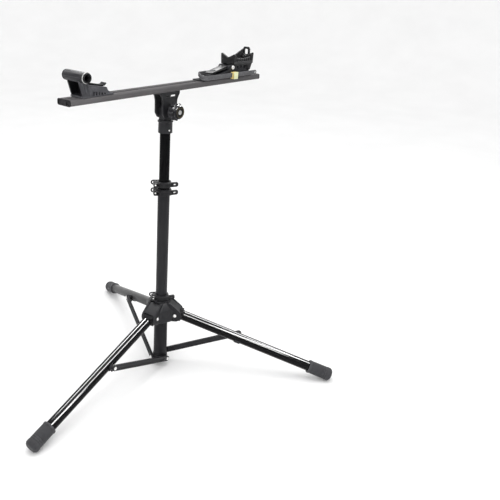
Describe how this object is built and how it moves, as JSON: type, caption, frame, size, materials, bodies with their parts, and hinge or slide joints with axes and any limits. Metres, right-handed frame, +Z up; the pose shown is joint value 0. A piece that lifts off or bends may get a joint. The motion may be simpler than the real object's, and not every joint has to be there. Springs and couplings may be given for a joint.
{
  "type": "bike repair stand",
  "caption": "Folding tripod repair stand with a telescoping mast and a tilting beam that holds a bicycle by its fork and bottom bracket.",
  "frame": {"origin": "on the floor, under the middle of the stand's box; the mast's axis is at x = 0.0756, y = -0.0294", "axes": "+X along the beam from the fork mount to the cradle, +Z up, -Y towards the side of the tilt knob"},
  "size_m": [0.9231, 0.939, 0.9629],
  "materials": {
    "gloss_black_tube": "glossy black anodised tube",
    "satin_black_tube": "satin black anodised tube",
    "strut_bar": "satin black painted steel bar",
    "beam_aluminium": "dark grey anodised extrusion",
    "black_plastic": "moulded black nylon",
    "grey_plastic": "moulded dark grey nylon",
    "boot_rubber": "matt dark rubber",
    "pad_rubber": "soft dark rubber",
    "strap_rubber": "grey ribbed strap",
    "steel": "bright zinc",
    "yellow_plastic": "pale yellow moulded"
  },
  "bodies": {
    "hub": {"hub_body": "black_plastic", "hub_sleeve": "satin_black_tube", "leg_pin_1": "steel", "leg_pin_2": "steel", "leg_pin_3": "steel", "hub_clamp_band": "black_plastic", "hub_clamp_bolt": "steel"},
    "mast_outer": {"outer_tube": "satin_black_tube", "strut_collar": "black_plastic", "lower_clamp_band": "black_plastic", "lower_clamp_bolt": "steel"},
    "mast_middle": {"middle_tube": "satin_black_tube", "upper_clamp_band": "black_plastic", "upper_clamp_bolt": "steel"},
    "mast_inner": {"inner_tube": "satin_black_tube"},
    "head": {"head_socket": "black_plastic"},
    "yoke": {"head_yoke": "black_plastic", "tilt_bolt": "steel"},
    "knob": {"tilt_knob": "black_plastic", "knob_cap": "grey_plastic"},
    "beam": {"beam": "beam_aluminium", "beam_cap_fork": "black_plastic", "beam_cap_cradle": "black_plastic"},
    "fork_mount": {"fork_upright": "grey_plastic", "fork_wedge": "grey_plastic", "axle_sleeve": "black_plastic", "axle_ring": "steel"},
    "fork_lever": {"fork_lever": "black_plastic"},
    "cradle": {"cradle_base": "black_plastic", "cradle_pad": "pad_rubber", "cradle_tab": "black_plastic", "cradle_bolt": "steel", "cradle_strap": "strap_rubber", "buckle": "yellow_plastic"},
    "cradle_lever": {"cradle_lever": "black_plastic"},
    "buckle_lever": {"buckle_lever": "yellow_plastic"},
    "hub_clamp_lever": {"hub_clamp_lever": "black_plastic"},
    "lower_clamp_lever": {"lower_clamp_lever": "black_plastic"},
    "upper_clamp_lever": {"upper_clamp_lever": "black_plastic"},
    "leg_1": {"leg_knuckle_1": "black_plastic", "leg_tube_1": "gloss_black_tube", "leg_boot_1": "boot_rubber", "strut_clip_1": "black_plastic", "strut_pin_1": "steel"},
    "strut_1": {"strut_1": "strut_bar", "collar_pin_1": "steel"},
    "leg_2": {"leg_knuckle_2": "black_plastic", "leg_tube_2": "gloss_black_tube", "leg_boot_2": "boot_rubber", "strut_clip_2": "black_plastic", "strut_pin_2": "steel"},
    "strut_2": {"strut_2": "strut_bar", "collar_pin_2": "steel"},
    "leg_3": {"leg_knuckle_3": "black_plastic", "leg_tube_3": "gloss_black_tube", "leg_boot_3": "boot_rubber", "strut_clip_3": "black_plastic", "strut_pin_3": "steel"},
    "strut_3": {"strut_3": "strut_bar", "collar_pin_3": "steel"}
  },
  "joints": [
    {"name": "mast_fold", "type": "slide", "parent": "hub", "child": "mast_outer", "axis": [0, 0, -1], "range_m": [0, 0.3021]},
    {"name": "middle_extend", "type": "slide", "parent": "mast_outer", "child": "mast_middle", "axis": [0, 0, 1], "range_m": [0, 0.3]},
    {"name": "inner_extend", "type": "slide", "parent": "mast_middle", "child": "mast_inner", "axis": [0, 0, 1], "range_m": [-0.136, 0.24]},
    {"name": "head_swivel", "type": "hinge", "parent": "mast_inner", "child": "head", "pos_m": [0.0756, -0.0294, 0.78], "axis": [0, 0, 1], "continuous": true},
    {"name": "head_tilt", "type": "hinge", "parent": "head", "child": "yoke", "pos_m": [0.0756, -0.0294, 0.8159], "axis": [0, -1, 0], "range_deg": [-30, 90]},
    {"name": "knob_turn", "type": "hinge", "parent": "yoke", "child": "knob", "pos_m": [0.0756, -0.0559, 0.8159], "axis": [0, -1, 0], "continuous": true},
    {"name": "beam_shift", "type": "slide", "parent": "yoke", "child": "beam", "axis": [1, 0, 0], "range_m": [-0.31, 0.2]},
    {"name": "fork_shift", "type": "slide", "parent": "beam", "child": "fork_mount", "axis": [1, 0, 0], "range_m": [-0.02, 0.15]},
    {"name": "cradle_shift", "type": "slide", "parent": "beam", "child": "cradle", "axis": [1, 0, 0], "range_m": [-0.08, 0.02]},
    {"name": "fork_lever_lift", "type": "hinge", "parent": "fork_mount", "child": "fork_lever", "pos_m": [-0.2059, -0.0294, 0.9146], "axis": [0, -1, 0], "range_deg": [0, 80]},
    {"name": "cradle_lever_lift", "type": "hinge", "parent": "cradle", "child": "cradle_lever", "pos_m": [0.3281, -0.0294, 0.9119], "axis": [0, 1, 0], "range_deg": [0, 60]},
    {"name": "buckle_lever_lift", "type": "hinge", "parent": "cradle", "child": "buckle_lever", "pos_m": [0.3256, -0.068, 0.8991], "axis": [-1, 0, 0], "range_deg": [0, 60]},
    {"name": "hub_clamp_open", "type": "hinge", "parent": "hub", "child": "hub_clamp_lever", "pos_m": [0.04697, -0.02461, 0.2413], "axis": [0, 0, -1], "range_deg": [0, 110]},
    {"name": "lower_clamp_open", "type": "hinge", "parent": "mast_outer", "child": "lower_clamp_lever", "pos_m": [0.04697, -0.02461, 0.5795], "axis": [0, 0, -1], "range_deg": [0, 110]},
    {"name": "upper_clamp_open", "type": "hinge", "parent": "mast_middle", "child": "upper_clamp_lever", "pos_m": [0.04697, -0.02461, 0.603], "axis": [0, 0, -1], "range_deg": [0, 110]},
    {"name": "leg_1_fold", "type": "hinge", "parent": "hub", "child": "leg_1", "pos_m": [0.0301, -0.03466, 0.189], "axis": [0.1149, -0.9934, 0], "range_deg": [0, 66.59]},
    {"name": "strut_1_fold", "type": "hinge", "parent": "leg_1", "child": "strut_1", "pos_m": [-0.16662, -0.05743, 0.11914], "axis": [-0.1149, 0.9934, 0], "range_deg": [0, 122.78]},
    {"name": "leg_2_fold", "type": "hinge", "parent": "hub", "child": "leg_2", "pos_m": [0.10291, -0.06617, 0.189], "axis": [0.8028, 0.5962, 0], "range_deg": [0, 66.59]},
    {"name": "strut_2_fold", "type": "hinge", "parent": "leg_2", "child": "strut_2", "pos_m": [0.22098, -0.22516, 0.11914], "axis": [-0.8028, -0.5962, 0], "range_deg": [0, 122.78]},
    {"name": "leg_3_fold", "type": "hinge", "parent": "hub", "child": "leg_3", "pos_m": [0.09379, 0.01263, 0.189], "axis": [-0.9178, 0.3971, 0], "range_deg": [0, 66.59]},
    {"name": "strut_3_fold", "type": "hinge", "parent": "leg_3", "child": "strut_3", "pos_m": [0.17244, 0.19439, 0.11914], "axis": [0.9178, -0.3971, 0], "range_deg": [0, 122.78]}
  ],
  "couplings": [
    {"joint": "leg_1_fold", "follows": "mast_fold", "rad_per_m": 3.846},
    {"joint": "strut_1_fold", "follows": "mast_fold", "rad_per_m": 7.0923},
    {"joint": "leg_2_fold", "follows": "mast_fold", "rad_per_m": 3.846},
    {"joint": "strut_2_fold", "follows": "mast_fold", "rad_per_m": 7.0923},
    {"joint": "leg_3_fold", "follows": "mast_fold", "rad_per_m": 3.846},
    {"joint": "strut_3_fold", "follows": "mast_fold", "rad_per_m": 7.0923}
  ]
}
